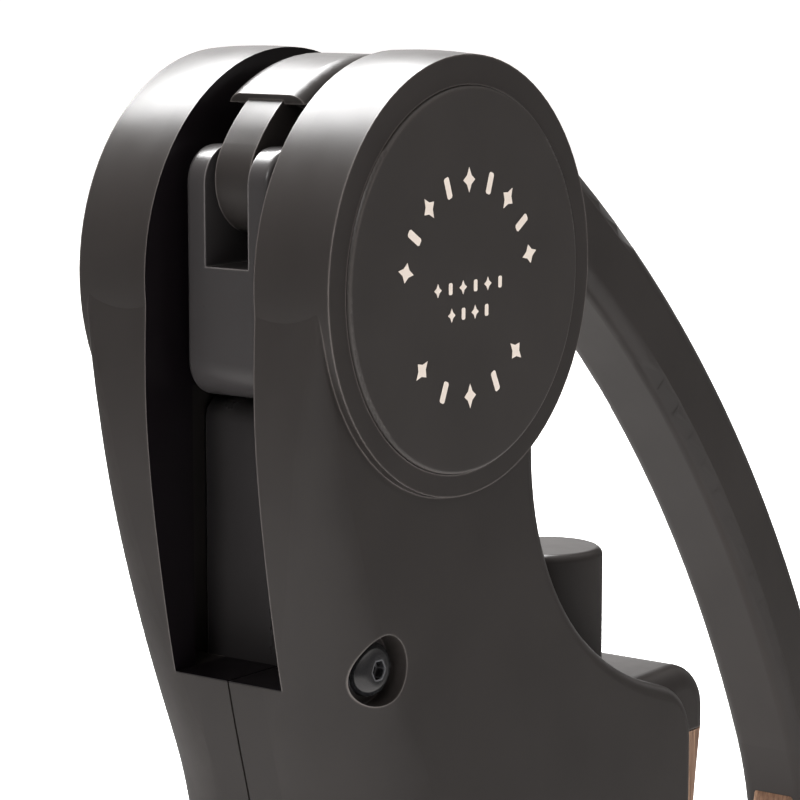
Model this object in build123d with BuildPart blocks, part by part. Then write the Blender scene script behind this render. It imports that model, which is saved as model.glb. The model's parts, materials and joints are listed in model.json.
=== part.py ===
from build123d import *
import os

# Lever corkscrew: two shells carry an axle; a lever turns on it and drives a worm down through a
# connecting rod and a carriage. Millimetres, +Z up along the worm, +X towards the lever.

os.makedirs("parts", exist_ok=True)

# Body and head
HEAD_Z = 145.0          # axle height above the table
HEAD_R = 30.0           # flat ring of the round head
HEAD_CROWN = 30.4       # largest radius of the crowned rim
HALF_WIDTH = 21.5       # head face from the middle plane
SIDE = 20.3             # flat side of the body from the middle plane
SEAM = 0.15             # half of the joint line between the shells
GAP = 9.35              # half gap between the head plates
FOOT = 0.8              # shells stop above the table
SILL_Z = 90.8           # bottom of the open gap
DISC_R = 26.3           # medallion
DISC_Z = 144.5
DISC_IN = 20.05
DISC_OUT = 22.1

# Axle, lever and rod
AXLE_R = 5.0
HUB_R = 8.3
LEVER_W = 6.8           # half width of the lever
FINGER_W = 3.0          # half width of the finger that carries the crank pin
CRANK_X = -15.6
CRANK_Z = 158.4
CRANK_R = 3.0
LEVER_T = 12.8          # depth of the lever's side face
WRIST_Z = 121.0
WRIST_R = 2.5

# Carriage and worm
CARR_TOP = 127.0
CARR_BOTTOM = 89.3
CARR_W = 14.5
CARR_X = 13.0
PITCH = 10.2916         # worm pitch: three turns over the stroke
WIRE_R = 1.6
COIL_R = 3.0
TURNS = 4.25

# Bottle socket and clamp
NECK_R = 15.6
COLLAR_R = 18.0
COLLAR_Z = 38.2
JAW_Z = 20.0
BUTTON_X = 52.8
BUTTON_R = 8.2
BUTTON_TOP = 97.0
CORE_X = 42.3
CORE_TOP = 76.5
CORE_W = 15.0
WOOD_TOP = 66.0

CORE_BACK = 76.4

BOLTS = [(30.0, 9.0), (30.0, 47.0)]
RAIL_SCREW = (-16.5, 93.4)
DOWELS = [(60.0, 14.0), (60.0, 50.0)]

# Front of a shell: height, front face, corner radius
FRONT = [
    (145.0, -30.0, 1.5), (135.0, -30.4, 1.9), (125.0, -30.2, 4.2), (115.0, -29.2, 6.0), (105.0, -27.7, 8.1),
    (95.0, -25.9, 10.6), (85.0, -23.7, 13.2), (75.0, -21.1, 15.2), (65.0, -18.9, 15.5), (56.0, -18.0, 15.3),
    (46.0, -18.9, 15.0), (36.0, -20.8, 14.5), (26.0, -21.6, 14.0), (14.0, -21.6, 14.0), (FOOT, -21.6, 14.0),
]


def y_pin(name, x, z, y_low, y_high, radius):
    """Round pin along Y between two Y values."""
    with BuildPart() as pin:
        with BuildSketch(Plane.XZ.offset(-y_high)):
            with Locations((x, z)):
                Circle(radius)
        extrude(amount=y_high - y_low)
        chamfer(pin.edges().filter_by(GeomType.CIRCLE), 0.4)
    pin.part.label = name
    return pin


# ---------------------------------------------------------------- shells
with BuildPart() as blank:
    with BuildSketch(Plane.XZ.offset(SEAM)):
        with BuildLine():
            Line((-2.0, HEAD_Z), (-2.0, FOOT))
            wall = Line((19.4, HEAD_Z), (19.4, 119.0))
            sweep_in = JernArc(wall @ 1, wall % 1, 40.0, 52.5)
            shoulder = JernArc(sweep_in @ 1, sweep_in % 1, 60.0, 19.0)
            ledge = PolarLine(shoulder @ 1, 4.5, direction=shoulder % 1)
            corner = JernArc(ledge @ 1, ledge % 1, 9.7, -71.5)
            Line(corner @ 1, ((corner @ 1).X, FOOT))
            Line(((corner @ 1).X, FOOT), (-2.0, FOOT))
            Line((19.4, HEAD_Z), (-2.0, HEAD_Z))
        make_face()
    extrude(amount=SIDE - SEAM)
    side_edges = blank.edges().group_by(Axis.Y)[0]
    fillet(side_edges.filter_by(lambda e: e.center().X > 18 and e.center().Z > 20), 2.4)
    # front, its corner rounder towards the waist
    for height, front, corner_r in FRONT:
        with BuildSketch(Plane.XY.offset(height)):
            with BuildLine():
                Polyline((0, -SIDE), (0, -SEAM), (front, -SEAM), (front, -SIDE + corner_r))
                RadiusArc((front, -SIDE + corner_r), (front + corner_r, -SIDE), -corner_r)
                Line((front + corner_r, -SIDE), (0, -SIDE))
            make_face()
    loft()
    # round head with a crowned rim
    with BuildSketch(Plane.XY.offset(HEAD_Z)):
        with BuildLine():
            Line((0, -SEAM), (HEAD_R + 0.3, -SEAM))
            Line((HEAD_R + 0.3, -SEAM), (HEAD_R + 0.3, -GAP))
            ThreePointArc((HEAD_R + 0.3, -GAP), (HEAD_CROWN, -14.6), (HEAD_R, -HALF_WIDTH))
            Line((HEAD_R, -HALF_WIDTH), (0, -HALF_WIDTH))
            Line((0, -HALF_WIDTH), (0, -SEAM))
        make_face()
    revolve(axis=Axis((0, 0, HEAD_Z), (0, 1, 0)))
    # recess for the medallion
    with Locations(Pos(0, -HALF_WIDTH, DISC_Z)):
        Cylinder(DISC_R + 0.1, 3.0, rotation=(90, 0, 0), mode=Mode.SUBTRACT)
    # open gap of the head and of the front
    with Locations(Pos(0, 0, 153.0)):
        Box(140, 2 * GAP, 80, mode=Mode.SUBTRACT)
    with Locations(Pos(-17.75, 0, (SILL_Z + 113.0) / 2)):
        Box(64.5, 2 * GAP, 113.0 - SILL_Z, mode=Mode.SUBTRACT)
    # carriage channel, with a wider chamber behind the front lips
    with Locations(Pos(-0.15, 0, 93.5)):
        Box(28.3, 30.0, 73.0, mode=Mode.SUBTRACT)
    with Locations(Pos(-8.7, 0, 110.4)):
        Box(24.4, 30.0, 39.2, mode=Mode.SUBTRACT)
    # worm passage, guide seat and bottle collar seat
    with Locations(Pos(0, 0, 50.0)):
        Cylinder(8.0, 30.0, mode=Mode.SUBTRACT)
    with Locations(Pos(0, 0, 44.15)):
        Cylinder(14.1, 8.1, mode=Mode.SUBTRACT)
    with Locations(Pos(0, 0, 19.0)):
        Cylinder(COLLAR_R + 0.05, 38.6, mode=Mode.SUBTRACT)
    # grip chamber, open to the rear and above
    with Locations(Pos(62.0, 0, 60.0)):
        Box(40.0, 30.2, 120.0, mode=Mode.SUBTRACT)
    # lightening chambers and the push rod's way
    with Locations(Pos(30.0, 0, 28.5)):
        Box(15.0, 32.0, 23.0, mode=Mode.SUBTRACT)
    with Locations(Pos(30.0, 0, 64.0)):
        Box(15.0, 32.0, 22.0, mode=Mode.SUBTRACT)
    with Locations(Pos(28.0, 0, JAW_Z)):
        Box(30.0, 14.8, 16.8, mode=Mode.SUBTRACT)
    # axle seat
    with Locations(Pos(0, -13.0, HEAD_Z)):
        Cylinder(AXLE_R + 0.02, 8.4, rotation=(90, 0, 0), mode=Mode.SUBTRACT)

    # seats of the grip's dowels
    for x, z in DOWELS:
        with Locations(Pos(x, -16.5, z)):
            Cylinder(2.02, 3.4, rotation=(90, 0, 0), mode=Mode.SUBTRACT)

with BuildPart() as shell_near:
    add(blank.part)
    for x, z in BOLTS:
        with Locations(Pos(x, -18.4, z)):
            Cylinder(4.6, 5.0, rotation=(90, 0, 0), mode=Mode.SUBTRACT)
        with Locations(Pos(x, -11.0, z)):
            Cylinder(2.15, 24.0, rotation=(90, 0, 0), mode=Mode.SUBTRACT)
    # screw of the guide rail
    with Locations(Pos(RAIL_SCREW[0], -19.85, RAIL_SCREW[1])):
        Cylinder(4.9, 6.0, rotation=(90, 0, 0), mode=Mode.SUBTRACT)
    with Locations(Pos(RAIL_SCREW[0], -16.0, RAIL_SCREW[1])):
        Cylinder(2.15, 4.0, rotation=(90, 0, 0), mode=Mode.SUBTRACT)
shell_near.part.label = "shell_near"
export_step(shell_near.part, "parts/shell_near.step")

with BuildPart() as shell_far:
    add(mirror(blank.part, about=Plane.XZ))
    for x, z in BOLTS:
        with Locations(Pos(x, 7.0, z)):
            Cylinder(3.02, 16.0, rotation=(90, 0, 0), mode=Mode.SUBTRACT)
shell_far.part.label = "shell_far"
export_step(shell_far.part, "parts/shell_far.step")

# ---------------------------------------------------------------- medallions
with BuildPart() as medallion_near:
    with BuildSketch(Plane.XZ.offset(DISC_IN)):
        with Locations((0, DISC_Z)):
            Circle(DISC_R)
    extrude(amount=DISC_OUT - DISC_IN)
    fillet(medallion_near.edges().group_by(Axis.Y)[0], 0.5)
medallion_near.part.label = "medallion_near"
export_step(medallion_near.part, "parts/medallion_near.step")

with BuildPart() as medallion_far:
    add(mirror(medallion_near.part, about=Plane.XZ))
medallion_far.part.label = "medallion_far"
export_step(medallion_far.part, "parts/medallion_far.step")

# ---------------------------------------------------------------- axle and its spacers
axle = y_pin("pivot_axle", 0, HEAD_Z, -17.0, 17.0, AXLE_R)
export_step(axle.part, "parts/pivot_axle.step")

with BuildPart() as axle_spacers:
    for y in (-8.15, 8.15):
        with Locations(Pos(0, y, HEAD_Z)):
            Cylinder(8.0, 2.1, rotation=(90, 0, 0))
            Cylinder(AXLE_R + 0.03, 4.0, rotation=(90, 0, 0), mode=Mode.SUBTRACT)
axle_spacers.part.label = "axle_spacers"
export_step(axle_spacers.part, "parts/axle_spacers.step")

# ---------------------------------------------------------------- guide rail behind the near front lip
with BuildPart() as guide_rail:
    with Locations(Pos(-17.1, -12.35, 109.5)):
        Box(6.6, 5.2, 37.0)
    chamfer(guide_rail.edges().filter_by(Axis.Z), 0.5)
    with Locations(Pos(RAIL_SCREW[0], -13.0, RAIL_SCREW[1])):
        Cylinder(2.02, 8.0, rotation=(90, 0, 0), mode=Mode.SUBTRACT)
guide_rail.part.label = "guide_rail"
export_step(guide_rail.part, "parts/guide_rail.step")


def button_screw(name, x, z, side, length):
    """M4 button-head screw with a hexagon socket, its head on the given side of the body."""
    plane = Plane(origin=(x, side * 16.85, z), x_dir=(1, 0, 0), z_dir=(0, side, 0))
    with BuildPart() as screw:
        with BuildSketch(plane):
            Circle(3.8)
        extrude(amount=2.4)
        top = screw.faces().sort_by(Axis.Y)[-1 if side > 0 else 0]
        fillet(top.edges(), 1.9)
        with BuildSketch(plane):
            Circle(2.0)
        extrude(amount=-length)
        with BuildSketch(plane.offset(2.4)):
            RegularPolygon(1.44, 6)
        extrude(amount=-1.5, mode=Mode.SUBTRACT)
    screw.part.label = name
    return screw


rail_screw = button_screw("rail_screw", RAIL_SCREW[0], RAIL_SCREW[1], -1, 6.8)
export_step(rail_screw.part, "parts/rail_screw.step")

with BuildPart() as shell_bolts:
    for x, z in BOLTS:
        add(button_screw("bolt", x, z, -1, 26.0).part.moved(Pos(0, 0.95, 0)))
shell_bolts.part.label = "shell_bolts"
export_step(shell_bolts.part, "parts/shell_bolts.step")

with BuildPart() as bolt_inserts:
    for x, z in BOLTS:
        with Locations(Pos(x, 6.4, z)):
            Cylinder(3.0, 10.0, rotation=(90, 0, 0))
            Cylinder(2.03, 12.0, rotation=(90, 0, 0), mode=Mode.SUBTRACT)
bolt_inserts.part.label = "bolt_inserts"
export_step(bolt_inserts.part, "parts/bolt_inserts.step")

# ---------------------------------------------------------------- bottle collar and worm guide
with BuildPart() as collar:
    with BuildSketch(Plane.XZ):
        with BuildLine():
            Polyline(
                (NECK_R, 0), (19.8, 0), (19.8, 0.7), (COLLAR_R, 0.7), (COLLAR_R, COLLAR_Z),
                (8.0, COLLAR_Z), (8.0, 37.0), (NECK_R, 37.0), close=True,
            )
        make_face()
    revolve(axis=Axis.Z)
    with Locations(Pos(17.0, 0, JAW_Z)):
        Box(10.0, 14.6, 16.6, mode=Mode.SUBTRACT)
collar.part.label = "bottle_collar"
export_step(collar.part, "parts/bottle_collar.step")

with BuildPart() as guide:
    with Locations(Pos(0, 0, 44.15)):
        Cylinder(14.0, 7.7)
        Cylinder(5.3, 10.0, mode=Mode.SUBTRACT)
    chamfer(guide.edges().filter_by(GeomType.CIRCLE).sort_by(SortBy.RADIUS)[0:2], 0.6)
    with Locations(Location((0, 0, 44.15), (0, 0, 290.2))):
        with Locations(Location((3.9, 0, 0), (0, 90, 0))):
            Cylinder(1.1, 3.4)
guide.part.label = "worm_guide"
export_step(guide.part, "parts/worm_guide.step")

# ---------------------------------------------------------------- grip core, wood and foot
with BuildPart() as grip_core:
    with BuildSketch(Plane.XZ):
        with BuildLine():
            Polyline((CORE_BACK, WOOD_TOP), (67.0, WOOD_TOP), (67.0, 5.0), (74.6, 5.0), (74.6, 1.0))
            Polyline((74.6, 1.0), (CORE_X, 1.0), (CORE_X, CORE_TOP), (CORE_BACK - 7.5, CORE_TOP))
            RadiusArc((CORE_BACK - 7.5, CORE_TOP), (CORE_BACK, CORE_TOP - 7.5), 7.5)
            Line((CORE_BACK, CORE_TOP - 7.5), (CORE_BACK, WOOD_TOP))
        make_face()
    extrude(amount=CORE_W, both=True)
    fillet(
        grip_core.edges().filter_by(
            lambda e: abs(abs(e.center().Y) - CORE_W) < 0.01
            and ((e.center().X > 72 and e.center().Z > 64) or abs(e.center().Z - CORE_TOP) < 0.01)
        ),
        3.5,
    )
    # button well, spring well and stem bore, then the push rod's bore
    with Locations(Pos(BUTTON_X, 0, 74.6)):
        Cylinder(BUTTON_R + 0.3, 4.6, mode=Mode.SUBTRACT)
    with Locations(Pos(BUTTON_X, 0, 69.0)):
        Cylinder(6.6, 10.0, mode=Mode.SUBTRACT)
    with Locations(Pos(BUTTON_X, 0, 40.0)):
        Cylinder(4.28, 56.0, mode=Mode.SUBTRACT)
    with Locations(Pos(50.0, 0, JAW_Z)):
        Cylinder(3.36, 18.0, rotation=(0, 90, 0), mode=Mode.SUBTRACT)
    for x, z in DOWELS:
        with Locations(Pos(x, 0, z)):
            Cylinder(2.02, 34.0, rotation=(90, 0, 0), mode=Mode.SUBTRACT)
    with Locations(Pos(57.0, 0, 1.75)):
        Box(22.2, 24.2, 1.6, mode=Mode.SUBTRACT)
grip_core.part.label = "grip_core"
export_step(grip_core.part, "parts/grip_core.step")

with BuildPart() as grip_wood:
    with BuildSketch(Plane.XZ):
        with BuildLine():
            Polyline((CORE_BACK, WOOD_TOP - 0.2), (67.1, WOOD_TOP - 0.2), (67.1, 5.2), (76.0, 5.2))
            Spline((76.0, 5.2), (74.3, 20.0), (73.6, 36.0), (74.4, 52.0), (CORE_BACK, WOOD_TOP - 0.2))
        make_face()
    extrude(amount=CORE_W, both=True)
    fillet(
        grip_wood.edges().filter_by(lambda e: abs(abs(e.center().Y) - CORE_W) < 0.01 and e.center().X > 73.0),
        3.5,
    )
grip_wood.part.label = "grip_wood"
export_step(grip_wood.part, "parts/grip_wood.step")

with BuildPart() as grip_dowels:
    for x, z in DOWELS:
        with Locations(Pos(x, 0, z)):
            Cylinder(2.0, 35.6, rotation=(90, 0, 0))
grip_dowels.part.label = "grip_dowels"
export_step(grip_dowels.part, "parts/grip_dowels.step")

with BuildPart() as foot_pad:
    with Locations(Pos(57.0, 0, 1.25)):
        Box(22.0, 24.0, 2.5)
    fillet(foot_pad.edges().filter_by(Axis.Z), 3.0)
foot_pad.part.label = "foot_pad"
export_step(foot_pad.part, "parts/foot_pad.step")

# ---------------------------------------------------------------- clamp button, spring, push rod, jaw
with BuildPart() as button:
    with BuildSketch(Plane.XY.offset(75.8)):
        with Locations((BUTTON_X, 0)):
            Circle(BUTTON_R)
    extrude(amount=BUTTON_TOP - 75.8)
    fillet(button.edges().group_by(Axis.Z)[-1], 1.3)
    with BuildSketch(Plane.XY.offset(75.8)):
        with Locations((BUTTON_X, 0)):
            Circle(6.5)
    extrude(amount=16.5, mode=Mode.SUBTRACT)
    with BuildSketch(Plane.XY.offset(13.0)):
        with Locations((BUTTON_X, 0)):
            Circle(4.2)
    extrude(amount=80.0)
    # foot of the stem, cut at 45 degrees
    with BuildSketch(Plane.XZ):
        with Locations((BUTTON_X, JAW_Z + 0.2)):
            Rectangle(40.0, 40.0, align=(Align.CENTER, Align.MAX), rotation=-45)
    extrude(amount=6.0, both=True, mode=Mode.SUBTRACT)
button.part.label = "thumb_button"
export_step(button.part, "parts/thumb_button.step")

with BuildPart() as button_spring:
    with BuildLine():
        coil = Helix(4.0, 27.0, 5.45, center=(BUTTON_X, 0, 64.6))
    with BuildSketch(Plane(origin=coil @ 0, z_dir=coil % 0)):
        Circle(0.5)
    sweep(is_frenet=True)
button_spring.part.label = "button_spring"
export_step(button_spring.part, "parts/button_spring.step")

with BuildPart() as jaw:
    with Locations(Pos(19.0, 0, JAW_Z)):
        Box(6.2, 14.0, 16.0)
    fillet(jaw.edges().filter_by(Axis.X), 2.0)
    with Locations(Pos(0, 0, JAW_Z)):
        Cylinder(17.42, 20.0, mode=Mode.SUBTRACT)
    with BuildSketch(Plane.YZ.offset(21.0)):
        with Locations((0, JAW_Z)):
            Circle(3.3)
    extrude(amount=35.5)
    with BuildSketch(Plane.XZ):
        with Locations((BUTTON_X, JAW_Z - 0.2)):
            Rectangle(40.0, 40.0, align=(Align.CENTER, Align.MIN), rotation=-45)
    extrude(amount=4.0, both=True, mode=Mode.SUBTRACT)
jaw.part.label = "clamp_jaw"
export_step(jaw.part, "parts/clamp_jaw.step")

with BuildPart() as jaw_pad:
    with Locations(Pos(16.4, 0, JAW_Z)):
        Box(3.4, 12.8, 14.8)
    with Locations(Pos(0, 0, JAW_Z)):
        Cylinder(NECK_R + 0.1, 20.0, mode=Mode.SUBTRACT)
    with Locations(Pos(0, 0, JAW_Z)):
        Cylinder(17.4, 20.0, mode=Mode.INTERSECT)
jaw_pad.part.label = "jaw_pad"
export_step(jaw_pad.part, "parts/jaw_pad.step")

# ---------------------------------------------------------------- lever
with BuildPart() as lever:
    with BuildSketch(Plane.XZ) as lever_outline:
        with BuildLine():
            root = ThreePointArc((-16.34, HEAD_Z + 24.68), (-8.3, HEAD_Z + 28.41), (0.62, HEAD_Z + 29.59))
            neck = ThreePointArc(root @ 1, (21.9, 171.3), (40.6, 162.9))
            back = ThreePointArc(neck @ 1, (96.6, 113.1), (132.6, 55.0))
            tail = JernArc(back @ 1, back % 1, 75.0, -23.88)
            tip = PolarLine(tail @ 1, 11.0, direction=tail % 1)
            end = JernArc(tip @ 1, tip % 1, LEVER_T / 2, -180.0)
            rise = PolarLine(end @ 1, 11.0, direction=end % 1)
            inner = JernArc(rise @ 1, rise % 1, 75.0 - LEVER_T, 23.88)
            hub = back.arc_center
            scale_in = 1 - LEVER_T / back.radius
            belly = ThreePointArc(inner @ 1, hub + (back @ 0.5 - hub) * scale_in, hub + (back @ 0.1 - hub) * scale_in)
            Polyline(belly @ 1, (24.0, 147.5), (5.0, 138.4), (-8.0, 143.0), (-8.0, 149.0), root @ 0)
        make_face()
    extrude(amount=LEVER_W, both=True)
    fillet(
        lever.edges().filter_by(lambda e: abs(abs(e.center().Y) - LEVER_W) < 0.01 and e.center().X > 8.0 and e.length > 9.0
                                and (e.center().X > 45.0 or e.center().Z > 160.0)),
        2.6,
    )
    with BuildSketch(Plane.XZ):
        with Locations((CRANK_X, CRANK_Z)):
            Circle(10.0)
    extrude(amount=8.0, both=True, mode=Mode.SUBTRACT)
    with BuildSketch(Plane.XZ):
        with Locations((0, HEAD_Z)):
            Circle(HUB_R)
    extrude(amount=LEVER_W, both=True)
    # finger that ends in the eye of the crank pin
    with BuildSketch(Plane.XZ):
        with BuildLine():
            crown = ThreePointArc((-5.07, HEAD_Z + 28.75), (-14.45, HEAD_Z + 25.03), (-21.42, HEAD_Z + 18.29))
            eye = ThreePointArc(crown @ 1, (-21.83, HEAD_Z + 9.04), (-13.0, HEAD_Z + 6.26))
            Polyline(eye @ 1, (-2.6, HEAD_Z - 3.03), (3.0, HEAD_Z), crown @ 0)
        make_face()
    extrude(amount=FINGER_W, both=True)
    with BuildSketch(Plane.XZ):
        with Locations((CRANK_X, CRANK_Z)):
            Circle(CRANK_R + 0.01)
        with Locations((0, HEAD_Z)):
            Circle(6.52)
    extrude(amount=8.0, both=True, mode=Mode.SUBTRACT)
lever.part.label = "lever_arm"
export_step(lever.part, "parts/lever_arm.step")

with BuildPart() as lever_wood:
    with BuildSketch(Plane.XZ):
        with BuildLine():
            low = (126.17, 12.0)
            up = Line(low, (126.17, 24.64))
            seat = JernArc(up @ 1, up % 1, 75.0 - LEVER_T + 0.05, 15.0)
            Spline(seat @ 1, (123.5, 34.0), (124.2, 27.0), (124.4, 19.0), low)
        make_face()
    extrude(amount=4.0, both=True)
    fillet(lever_wood.edges().filter_by(lambda e: abs(abs(e.center().Y) - 4.0) < 0.01 and e.center().X < 124.3), 0.6)
lever_wood.part.label = "lever_wood"
export_step(lever_wood.part, "parts/lever_wood.step")

with BuildPart() as hub_bush:
    with Locations(Pos(0, 0, HEAD_Z)):
        Cylinder(6.5, 2 * LEVER_W, rotation=(90, 0, 0))
        Cylinder(AXLE_R + 0.05, 14.0, rotation=(90, 0, 0), mode=Mode.SUBTRACT)
hub_bush.part.label = "hub_bush"
export_step(hub_bush.part, "parts/hub_bush.step")

crank_pin = y_pin("crank_pin", CRANK_X, CRANK_Z, -7.1, 7.1, CRANK_R)
export_step(crank_pin.part, "parts/crank_pin.step")

# ---------------------------------------------------------------- connecting rod
with BuildPart() as rod:
    with BuildSketch(Plane.XZ):
        with BuildLine():
            Polyline((-24.5, 129.0), (-24.5, 162.9), (-9.1, 162.9), (-9.1, 129.0), close=True)
        make_face()
    extrude(amount=7.2, both=True)
    fillet(rod.edges().filter_by(Axis.Y).filter_by(lambda e: e.center().X < -20), 5.0)
    fillet(rod.edges().filter_by(Axis.Y).filter_by(lambda e: e.center().X > -12), 2.5)
    fillet(rod.edges().filter_by(lambda e: abs(abs(e.center().Y) - 7.2) < 0.01), 0.9)
    with Locations(Pos(-17.0, 0, 157.0)):
        Box(30.0, 7.4, 20.2, mode=Mode.SUBTRACT)
    with BuildSketch(Plane.XZ):
        with BuildLine():
            Polyline(
                (-14.0, 141.0), (-14.0, 133.0), (-6.5, 129.8), (-4.5, 127.5), (-4.5, WRIST_Z),
                (4.5, WRIST_Z), (4.5, 131.5), (0, 134.1), (-6.5, 136.1), (-9.6, 140.5), close=True,
            )
        make_face()
        with Locations((0, WRIST_Z)):
            Circle(4.5)
    extrude(amount=3.0, both=True)
    with BuildSketch(Plane.XZ):
        with Locations((CRANK_X, CRANK_Z)):
            Circle(CRANK_R + 0.05)
        with Locations((0, WRIST_Z)):
            Circle(WRIST_R + 0.01)
    extrude(amount=9.0, both=True, mode=Mode.SUBTRACT)
rod.part.label = "connecting_rod"
export_step(rod.part, "parts/connecting_rod.step")

wrist_pin = y_pin("wrist_pin", 0, WRIST_Z, -12.0, 12.0, WRIST_R)
export_step(wrist_pin.part, "parts/wrist_pin.step")

# ---------------------------------------------------------------- carriage
with BuildPart() as carriage:
    with Locations(Pos(0, 0, (CARR_TOP + CARR_BOTTOM) / 2)):
        Box(2 * CARR_X, 2 * CARR_W, CARR_TOP - CARR_BOTTOM)
    fillet(carriage.edges().filter_by(Axis.Y).group_by(Axis.Z)[-1].sort_by(Axis.X)[0], 3.0)
    chamfer(carriage.edges().filter_by(Axis.Z), 0.8)
    # slot of the rod's tongue and the two cross slots of its pin
    with Locations(Pos(-0.7, 0, 119.0)):
        Box(18.6, 7.0, 17.0, mode=Mode.SUBTRACT)
    with Locations(Pos(-0.7, 0, WRIST_Z)):
        Box(14.8, 2 * CARR_W + 2, 7.4, mode=Mode.SUBTRACT)
    # bearing of the worm
    with Locations(Pos(0, 0, 103.0)):
        Cylinder(4.06, 10.0, mode=Mode.SUBTRACT)
    with Locations(Pos(0, 0, 94.0)):
        Cylinder(9.0, 10.0, mode=Mode.SUBTRACT)
    # seats of the side glides
    for y in (-14.1, 14.1):
        with Locations(Pos(0, y, 104.0)):
            Box(16.0, 1.2, 24.0, mode=Mode.SUBTRACT)
carriage.part.label = "carriage"
export_step(carriage.part, "parts/carriage.step")

with BuildPart() as glides:
    for y in (-14.2, 14.2):
        with Locations(Pos(0, y, 104.0)):
            Box(15.9, 1.3, 23.9)
glides.part.label = "carriage_glides"
export_step(glides.part, "parts/carriage_glides.step")

with BuildPart() as thrust_washer:
    with Locations(Pos(0, 0, 98.45)):
        Cylinder(8.9, 1.0)
        Cylinder(4.2, 2.0, mode=Mode.SUBTRACT)
thrust_washer.part.label = "thrust_washer"
export_step(thrust_washer.part, "parts/thrust_washer.step")

with BuildPart() as retainer:
    with Locations(Pos(0, 0, 92.2)):
        Cylinder(8.95, 4.8)
        Cylinder(5.3, 6.0, mode=Mode.SUBTRACT)
    with Locations(Pos(0, 7.1, 89.8), Pos(0, -7.1, 89.8)):
        Cylinder(0.9, 3.0, mode=Mode.SUBTRACT)
retainer.part.label = "worm_retainer"
export_step(retainer.part, "parts/worm_retainer.step")

# ---------------------------------------------------------------- worm
with BuildPart() as worm_shank:
    with Locations(Pos(0, 0, 101.4)):
        Cylinder(4.0, 11.8)
    with Locations(Pos(0, 0, 96.25)):
        Cylinder(8.6, 3.0)
    with Locations(Pos(0, 0, 90.5)):
        Cylinder(4.7, 10.0)
    chamfer(worm_shank.edges().group_by(Axis.Z)[-1], 0.5)
    chamfer(worm_shank.edges().group_by(Axis.Z)[0], 0.8)
worm_shank.part.label = "worm_shank"
export_step(worm_shank.part, "parts/worm_shank.step")

with BuildPart() as worm:
    with BuildLine():
        turns = Helix(PITCH, PITCH * TURNS, COIL_R, center=(0, 0, 41.0))
    with BuildSketch(Plane(origin=turns @ 0, z_dir=turns % 0)):
        Circle(WIRE_R)
    sweep(is_frenet=True)
    # ground point
    with BuildSketch(Plane(origin=turns @ 0, z_dir=-(turns % 0))) as tip_base:
        Circle(WIRE_R)
    with BuildSketch(Plane(origin=(turns @ 0) - (turns % 0) * 5.0 + Vector(-0.9, 0, 0), z_dir=-(turns % 0))):
        Circle(0.25)
    loft()
worm.part.label = "worm"
export_step(worm.part, "parts/worm.step")
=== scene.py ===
import json
import math

import bmesh
import bpy
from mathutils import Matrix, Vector


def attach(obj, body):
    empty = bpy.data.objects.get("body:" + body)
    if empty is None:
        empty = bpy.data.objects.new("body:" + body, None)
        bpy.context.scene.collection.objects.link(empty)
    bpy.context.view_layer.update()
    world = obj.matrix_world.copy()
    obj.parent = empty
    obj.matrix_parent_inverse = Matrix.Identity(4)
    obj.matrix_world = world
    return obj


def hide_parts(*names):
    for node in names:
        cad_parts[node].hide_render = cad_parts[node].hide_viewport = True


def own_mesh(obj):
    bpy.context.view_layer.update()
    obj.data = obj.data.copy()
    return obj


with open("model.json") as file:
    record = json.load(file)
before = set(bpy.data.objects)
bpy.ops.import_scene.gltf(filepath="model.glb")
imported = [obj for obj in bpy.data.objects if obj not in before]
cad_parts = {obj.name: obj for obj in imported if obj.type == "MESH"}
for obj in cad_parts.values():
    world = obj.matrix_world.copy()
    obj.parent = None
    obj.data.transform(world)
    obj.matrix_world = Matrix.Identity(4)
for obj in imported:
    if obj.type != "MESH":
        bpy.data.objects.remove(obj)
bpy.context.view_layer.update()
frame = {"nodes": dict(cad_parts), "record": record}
NODES = frame["nodes"]

# Ornament of the medallions, and the middle of the shells' open gap
RING_Z = 0.1435
RING_R = 0.0147
INLAY_TOP = 0.02214
INLAY_LOW = 0.02204
# SEAM_HALF, GAP_HALF and SILL_Z bound the painted shade on the shells' walls inside the gap
SEAM_HALF = 0.0060
GAP_HALF = 0.00938
SILL_Z = 0.0906


# ---------------------------------------------------------------- materials
def new_material(name):
    """An empty node material with its shader: (material, node tree, Principled shader)."""
    mat = bpy.data.materials.new(name)
    mat.use_nodes = True
    tree = mat.node_tree
    return mat, tree, tree.nodes["Principled BSDF"]


def add_node(tree, kind, **values):
    """A node of that kind with its input sockets set by name."""
    node = tree.nodes.new(kind)
    for key, value in values.items():
        node.inputs[key.replace("_", " ")].default_value = value
    return node


def noise(tree, scale, detail=4.0, stretch=(1.0, 1.0, 1.0), rough=0.55):
    """Noise in object space, stretched along one axis for brushed or grained surfaces."""
    place = tree.nodes.new("ShaderNodeTexCoord")
    mapping = add_node(tree, "ShaderNodeMapping")
    mapping.inputs["Scale"].default_value = stretch
    tree.links.new(place.outputs["Object"], mapping.inputs["Vector"])
    tex = add_node(tree, "ShaderNodeTexNoise", Scale=scale, Detail=detail, Roughness=rough)
    tree.links.new(mapping.outputs["Vector"], tex.inputs["Vector"])
    return tex.outputs["Fac"]


def spread(tree, value, low, high, start=0.3, stop=0.7):
    """Maps a 0-1 value to low..high."""
    node = tree.nodes.new("ShaderNodeMapRange")
    node.inputs["From Min"].default_value = start
    node.inputs["From Max"].default_value = stop
    node.inputs["To Min"].default_value = low
    node.inputs["To Max"].default_value = high
    tree.links.new(value, node.inputs["Value"])
    return node.outputs["Result"]


def mix_colour(tree, factor, a, b):
    """Colour a to b by a value."""
    node = tree.nodes.new("ShaderNodeMix")
    node.data_type = "RGBA"
    tree.links.new(factor, node.inputs["Factor"])
    for socket, colour in ((6, a), (7, b)):
        if isinstance(colour, tuple):
            node.inputs[socket].default_value = (*colour, 1.0)
        else:
            tree.links.new(colour, node.inputs[socket])
    return node.outputs[2]


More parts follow.
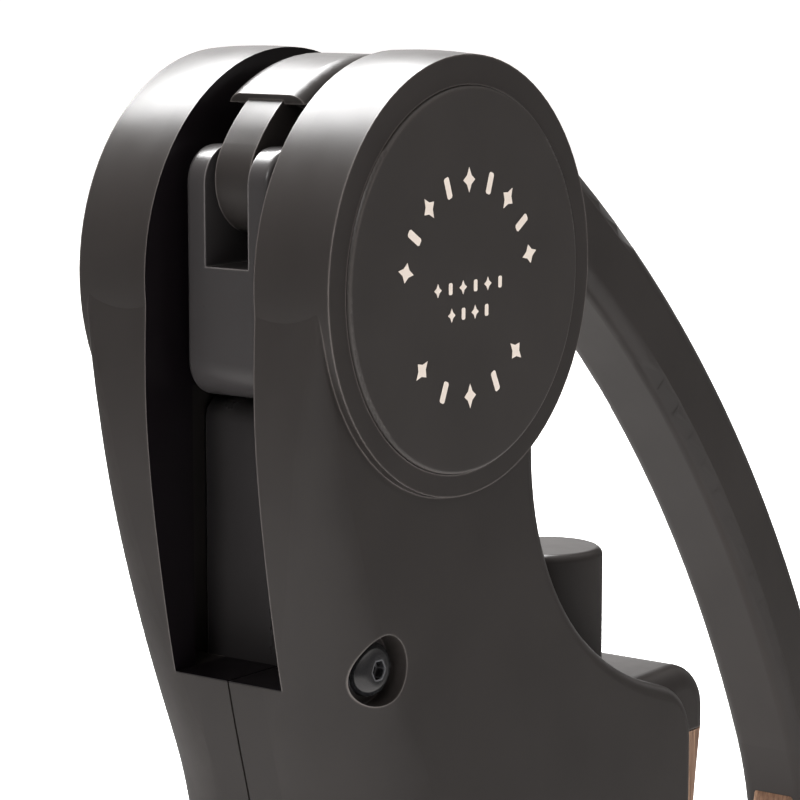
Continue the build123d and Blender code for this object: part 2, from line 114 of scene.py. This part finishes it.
def wear_and_highlight_mask(tree, radius):
    """1 on sharp edges within a radius, 0 elsewhere: where a painted highlight is laid along the edges,
    together with the polish of handling.
    """
    bevel = tree.nodes.new("ShaderNodeBevel")
    bevel.samples = 4
    bevel.inputs["Radius"].default_value = radius
    geometry = tree.nodes.new("ShaderNodeNewGeometry")
    dot = tree.nodes.new("ShaderNodeVectorMath")
    dot.operation = "DOT_PRODUCT"
    tree.links.new(bevel.outputs["Normal"], dot.inputs[0])
    tree.links.new(geometry.outputs["Normal"], dot.inputs[1])
    return spread(tree, dot.outputs["Value"], 1.0, 0.0, 0.80, 0.995)


def bump(tree, shader, parts):
    """Chains bumps onto the shader: a list of (height, strength, distance)."""
    last = None
    for height, strength, distance in parts:
        node = tree.nodes.new("ShaderNodeBump")
        node.inputs["Strength"].default_value = strength
        node.inputs["Distance"].default_value = distance
        tree.links.new(height, node.inputs["Height"])
        if last:
            tree.links.new(last.outputs["Normal"], node.inputs["Normal"])
        last = node
    tree.links.new(last.outputs["Normal"], shader.inputs["Normal"])


def within(tree, low_y, low_z):
    """1 where a point lies closer than low_y to the middle plane and above low_z, else 0."""
    place = tree.nodes.new("ShaderNodeTexCoord")
    axes = tree.nodes.new("ShaderNodeSeparateXYZ")
    tree.links.new(place.outputs["Object"], axes.inputs["Vector"])
    size = tree.nodes.new("ShaderNodeMath")
    size.operation = "ABSOLUTE"
    tree.links.new(axes.outputs["Y"], size.inputs[0])
    near = tree.nodes.new("ShaderNodeMath")
    near.operation = "LESS_THAN"
    tree.links.new(size.outputs[0], near.inputs[0])
    near.inputs[1].default_value = low_y
    above = tree.nodes.new("ShaderNodeMath")
    above.operation = "GREATER_THAN"
    tree.links.new(axes.outputs["Z"], above.inputs[0])
    above.inputs[1].default_value = low_z
    both = tree.nodes.new("ShaderNodeMath")
    both.operation = "MULTIPLY"
    tree.links.new(near.outputs[0], both.inputs[0])
    tree.links.new(above.outputs[0], both.inputs[1])
    return both.outputs[0]


def coated_metal(name, dark, light, wear_and_highlight, rough, specular=0.32, grain=1.0, gap_shade=None):
    """Satin coating on metal: fine blasted grain, cloudy tone, and edges lightened with a painted highlight,
    along with the polish of handling.

    gap_shade is painted shade: a near-black colour on the walls inside the open gap above the sill, with the
    cloud tone held at its dark end near the middle plane.
    """
    mat, tree, shader = new_material(name)
    cloud = noise(tree, 55.0, 5.0)
    tone = mix_colour(tree, spread(tree, cloud, 0.0, 1.0), dark, light)
    edge = wear_and_highlight_mask(tree, 0.00045)
    # painted highlight: edges are lightened towards the edge colour, together with handling polish
    tone = mix_colour(tree, edge, tone, wear_and_highlight)
    # painted shade: the walls inside the open gap and along the middle plane are darkened, where little
    # light reaches
    if gap_shade:
        tone = mix_colour(tree, within(tree, SEAM_HALF, -1.0), tone, dark)
        tone = mix_colour(tree, within(tree, GAP_HALF, SILL_Z), tone, gap_shade)
    tree.links.new(tone, shader.inputs["Base Color"])
    fine = noise(tree, 5200.0, 2.0)
    smear = noise(tree, 160.0, 6.0, (1.0, 1.0, 0.35))
    tree.links.new(spread(tree, smear, rough - 0.035, rough + 0.045), shader.inputs["Roughness"])
    shader.inputs["Specular IOR Level"].default_value = specular
    bump(tree, shader, [(fine, 0.10 * grain, 0.00004), (smear, 0.03 * grain, 0.0002)])
    return mat


def bare_metal(name, colour, rough, axis_stretch, grain=1.0):
    """Turned or ground metal with fine lines along one direction."""
    mat, tree, shader = new_material(name)
    lines = noise(tree, 900.0, 6.0, axis_stretch, 0.65)
    stain = noise(tree, 90.0, 4.0)
    darker = tuple(c * 0.78 for c in colour)
    tone = mix_colour(tree, spread(tree, stain, 0.0, 1.0), darker, colour)
    tree.links.new(tone, shader.inputs["Base Color"])
    tree.links.new(spread(tree, lines, rough - 0.06, rough + 0.10), shader.inputs["Roughness"])
    shader.inputs["Metallic"].default_value = 1.0
    bump(tree, shader, [(lines, 0.14 * grain, 0.00005)])
    return mat


def moulded(name, colour, rough, scale=2600.0):
    """Moulded plastic or rubber with a fine spark-eroded texture."""
    mat, tree, shader = new_material(name)
    fine = noise(tree, scale, 3.0)
    cloud = noise(tree, 70.0, 4.0)
    lighter = tuple(min(1.0, c * 1.5 + 0.004) for c in colour)
    tone = mix_colour(tree, spread(tree, cloud, 0.0, 1.0), colour, lighter)
    tree.links.new(tone, shader.inputs["Base Color"])
    tree.links.new(spread(tree, fine, rough - 0.05, rough + 0.08), shader.inputs["Roughness"])
    shader.inputs["Specular IOR Level"].default_value = 0.35
    bump(tree, shader, [(fine, 0.25, 0.00006)])
    return mat


def walnut(name):
    """Oiled hardwood: rings stretched along Z, fine pores and a soft gloss."""
    mat, tree, shader = new_material(name)
    place = tree.nodes.new("ShaderNodeTexCoord")
    mapping = add_node(tree, "ShaderNodeMapping")
    mapping.inputs["Scale"].default_value = (1.0, 1.0, 0.09)
    tree.links.new(place.outputs["Object"], mapping.inputs["Vector"])
    wave = add_node(tree, "ShaderNodeTexWave", Scale=210.0, Distortion=9.0, Detail=4.0, Detail_Scale=1.4)
    wave.bands_direction = "X"
    tree.links.new(mapping.outputs["Vector"], wave.inputs["Vector"])
    fibre = noise(tree, 2400.0, 4.0, (1.0, 1.0, 0.03), 0.7)
    band = mix_colour(tree, wave.outputs["Fac"], (0.185, 0.098, 0.055), (0.315, 0.190, 0.115))
    pores = mix_colour(tree, spread(tree, fibre, 0.0, 1.0, 0.36, 0.56), (0.105, 0.052, 0.028), band)
    tree.links.new(pores, shader.inputs["Base Color"])
    tree.links.new(spread(tree, fibre, 0.52, 0.36), shader.inputs["Roughness"])
    bump(tree, shader, [(fibre, 0.35, 0.00008), (wave.outputs["Fac"], 0.06, 0.0001)])
    return mat


# The third colour of each coated metal is a painted highlight along sharp and rounded edges, with some
# polish of handling.
SATIN = ((0.0205, 0.0178, 0.0167), (0.0250, 0.0217, 0.0203), (0.120, 0.106, 0.100), 0.34)
BODY = coated_metal("satin_body", *SATIN)
# the shells' coating carries painted shade, a near-black colour, on the walls inside the open gap
SHADED_SHELL = coated_metal("satin_shell_gap_shade", *SATIN, gap_shade=(0.0050, 0.0036, 0.0046))
# the medallion's edge colour is a bright painted highlight on its rim's fillet
DISC = coated_metal(
    "satin_disc", (0.0240, 0.0212, 0.0200), (0.0290, 0.0256, 0.0241), (0.300, 0.270, 0.250), 0.36
)
LINK = coated_metal(
    "satin_link", (0.0270, 0.0247, 0.0250), (0.034, 0.0312, 0.0315), (0.15, 0.139, 0.137), 0.30, 0.5
)
PALE = coated_metal(
    "pale_print", (0.560, 0.490, 0.430), (0.600, 0.530, 0.470), (0.640, 0.570, 0.500), 0.50
)
SCREW = coated_metal(
    "black_screw", (0.0075, 0.0078, 0.0085), (0.010, 0.0102, 0.0110), (0.16, 0.16, 0.17), 0.13, 0.9, 0.4
)
STEEL = bare_metal("ground_steel", (0.56, 0.56, 0.57), 0.28, (1.0, 0.05, 1.0))
COIL = bare_metal("coated_wire", (0.20, 0.20, 0.21), 0.22, (0.3, 0.3, 1.0), 0.6)
BRONZE = bare_metal("turned_bronze", (0.74, 0.55, 0.30), 0.30, (1.0, 0.06, 1.0))
PLASTIC = moulded("black_acetal", (0.010, 0.010, 0.0105), 0.42)
RUBBER = moulded("black_rubber", (0.016, 0.016, 0.016), 0.72, 1800.0)
WOOD = walnut("oiled_walnut")

FINISH = {
    "satin_body": BODY, "satin_disc": DISC, "satin_link": LINK, "steel": STEEL, "black_screw": SCREW,
    "brass": BRONZE, "dark_plastic": PLASTIC, "rubber": RUBBER, "wood": WOOD, "dark_worm": COIL,
}
for part in frame["record"]["subparts"]:
    obj = NODES[part["node"]]
    obj.data.materials.clear()
    is_shell = part["node"] in ("shell_near", "shell_far")
    obj.data.materials.append(SHADED_SHELL if is_shell else FINISH[part["material_slot"]])


# even shading of the lever's long rounded edges
even = NODES["lever_arm"].modifiers.new("even_normals", "WEIGHTED_NORMAL")
even.keep_sharp = True
even.weight = 80

# ---------------------------------------------------------------- button spring, a copy that rides with the button
cad_spring = NODES["button_spring"]
spring = bpy.data.objects.new("coil_spring", cad_spring.data.copy())
spring.matrix_world = cad_spring.matrix_world.copy()
bpy.context.collection.objects.link(spring)
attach(spring, "button")
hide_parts("button_spring")
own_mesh(spring)

# ---------------------------------------------------------------- ornament of the medallions
def lozenge(width, height):
    """Corners of an upright lozenge with drawn-in sides."""
    points = []
    for step in range(8):
        turn = math.pi * step / 4.0
        reach = 0.5 if step % 2 == 0 else 0.26
        points.append((reach * width * math.cos(turn), reach * height * math.sin(turn)))
    return points


def bar(width, height):
    """Corners of an upright bar with cut corners."""
    w, h, c = 0.5 * width, 0.5 * height, 0.2 * width
    right = [(w - c, -h), (w, c - h), (w, h - c), (w - c, h)]
    return right + [(-x, -z) for x, z in right]


def ornament(name, side):
    """A border of lozenges and bars with two short rows between, printed on one medallion."""
    mesh = bpy.data.meshes.new(name)
    bm = bmesh.new()

    def mark(x, z, turn, outline):
        top, low = [], []
        for px, pz in outline:
            u = x + px * math.cos(turn) - pz * math.sin(turn)
            v = z + px * math.sin(turn) + pz * math.cos(turn)
            top.append(bm.verts.new((-side * u, side * INLAY_TOP, RING_Z + v)))
            low.append(bm.verts.new((-side * u, side * INLAY_LOW, RING_Z + v)))
        bm.faces.new(top)
        bm.faces.new(low[::-1])
        for i in range(len(top)):
            j = (i + 1) % len(top)
            bm.faces.new((top[j], top[i], low[i], low[j]))

    for count, first, last in ((9, 167.0, 14.0), (5, 223.0, 319.0)):
        for i in range(count):
            angle = math.radians(first + (last - first) * i / (count - 1))
            shape = lozenge(0.0027, 0.0034) if i % 2 == 0 else bar(0.0011, 0.0030)
            mark(RING_R * math.cos(angle), RING_R * math.sin(angle), angle - math.pi / 2.0, shape)
    for count, width, z in ((6, 0.0144, 0.0003), (4, 0.0081, -0.0033)):
        for i in range(count):
            shape = lozenge(0.0017, 0.0019) if i % 2 == 0 else bar(0.0008, 0.0016)
            mark(-width / 2.0 + width * i / (count - 1), z, 0.0, shape)
    bmesh.ops.recalc_face_normals(bm, faces=bm.faces[:])
    bm.to_mesh(mesh)
    bm.free()
    mesh.materials.append(PALE)
    obj = bpy.data.objects.new(name, mesh)
    bpy.context.collection.objects.link(obj)
    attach(obj, "body")
    return obj


ornament("ornament_near", -1.0)
ornament("ornament_far", 1.0)

# ---------------------------------------------------------------- camera, floor and light
CAMERA_TARGET = Vector((0.013882, 0.0, 0.124566))
CAMERA_BACK = Vector((-0.79122, -0.59284, 0.15004)).normalized()
CAMERA_DISTANCE = 0.43504

camera_data = bpy.data.cameras.new("camera")
camera_data.lens = 135.97
camera_data.sensor_width = 36.0
camera_data.clip_start = 0.02
camera_data.clip_end = 60.0
camera = bpy.data.objects.new("camera", camera_data)
camera.location = CAMERA_TARGET + CAMERA_BACK * CAMERA_DISTANCE
camera.rotation_mode = "QUATERNION"
camera.rotation_quaternion = CAMERA_BACK.to_track_quat("Z", "Y")
bpy.context.collection.objects.link(camera)
bpy.context.scene.camera = camera

floor_mat, floor_tree, floor_shader = new_material("pale_floor")
floor_tone = noise(floor_tree, 3.0, 3.0)
floor_tree.links.new(
    mix_colour(floor_tree, spread(floor_tree, floor_tone, 0.0, 1.0), (0.94, 0.94, 0.94), (0.96, 0.96, 0.96)),
    floor_shader.inputs["Base Color"],
)
floor_shader.inputs["Roughness"].default_value = 0.9
floor_shader.inputs["Specular IOR Level"].default_value = 0.1
floor_shader.inputs["Emission Color"].default_value = (1.0, 1.0, 1.0, 1.0)
floor_shader.inputs["Emission Strength"].default_value = 0.45
floor_mesh = bpy.data.meshes.new("floor")
bm = bmesh.new()
bmesh.ops.create_circle(bm, cap_ends=True, radius=25.0, segments=96)
bm.to_mesh(floor_mesh)
bm.free()
floor_mesh.materials.append(floor_mat)
floor = bpy.data.objects.new("floor", floor_mesh)
floor.location.z = -0.0002
bpy.context.collection.objects.link(floor)


def softbox(name, place, aim, width, height, power):
    """A rectangular soft light at place, facing aim."""
    data = bpy.data.lights.new(name, "AREA")
    data.shape = "RECTANGLE"
    data.size = width
    data.size_y = height
    data.energy = power
    light = bpy.data.objects.new(name, data)
    light.location = place
    light.rotation_mode = "QUATERNION"
    light.rotation_quaternion = (Vector(place) - Vector(aim)).to_track_quat("Z", "Y")
    bpy.context.collection.objects.link(light)
    return light


AIM = (0.02, 0.0, 0.12)
softbox("key_above", (0.22, 0.48, 1.05), AIM, 0.75, 0.75, 42.0)
softbox("fill_front", (-0.95, -0.25, 0.75), AIM, 0.30, 0.30, 3.0)
floor.visible_glossy = False

# The view is a white studio, and reflections show a dark horizon with light above and below.
world = bpy.data.worlds.new("studio")
bpy.context.scene.world = world
world.use_nodes = True
sky = world.node_tree
lobby = sky.nodes["Background"]
direction = sky.nodes.new("ShaderNodeTexCoord")
split = sky.nodes.new("ShaderNodeSeparateXYZ")
sky.links.new(direction.outputs["Generated"], split.inputs["Vector"])
height = spread(sky, split.outputs["Z"], 0.0, 1.0, -1.0, 1.0)
ramp = sky.nodes.new("ShaderNodeValToRGB")
ramp.color_ramp.interpolation = "EASE"
stops = [(0.0, 0.95), (0.22, 0.80), (0.40, 0.16), (0.52, 0.13), (0.72, 0.30), (0.86, 0.75), (1.0, 0.9)]
while len(ramp.color_ramp.elements) < len(stops):
    ramp.color_ramp.elements.new(0.5)
for element, (place, level) in zip(ramp.color_ramp.elements, stops):
    element.position = place
    element.color = (level, level * 0.955, level * 0.93, 1.0)
sky.links.new(height, ramp.inputs["Fac"])
# white backdrop behind the object
behind = sky.nodes.new("ShaderNodeVectorMath")
behind.operation = "DOT_PRODUCT"
sky.links.new(direction.outputs["Generated"], behind.inputs[0])
behind.inputs[1].default_value = (0.80, 0.58, 0.12)
backdrop = spread(sky, behind.outputs["Value"], 0.0, 1.0, 0.78, 0.96)
room = mix_colour(sky, backdrop, ramp.outputs["Color"], (0.95, 0.93, 0.92))
rays = sky.nodes.new("ShaderNodeLightPath")
sky.links.new(mix_colour(sky, rays.outputs["Is Camera Ray"], room, (1.0, 1.0, 1.0)), lobby.inputs["Color"])
bpy.context.scene.view_settings.view_transform = "Standard"
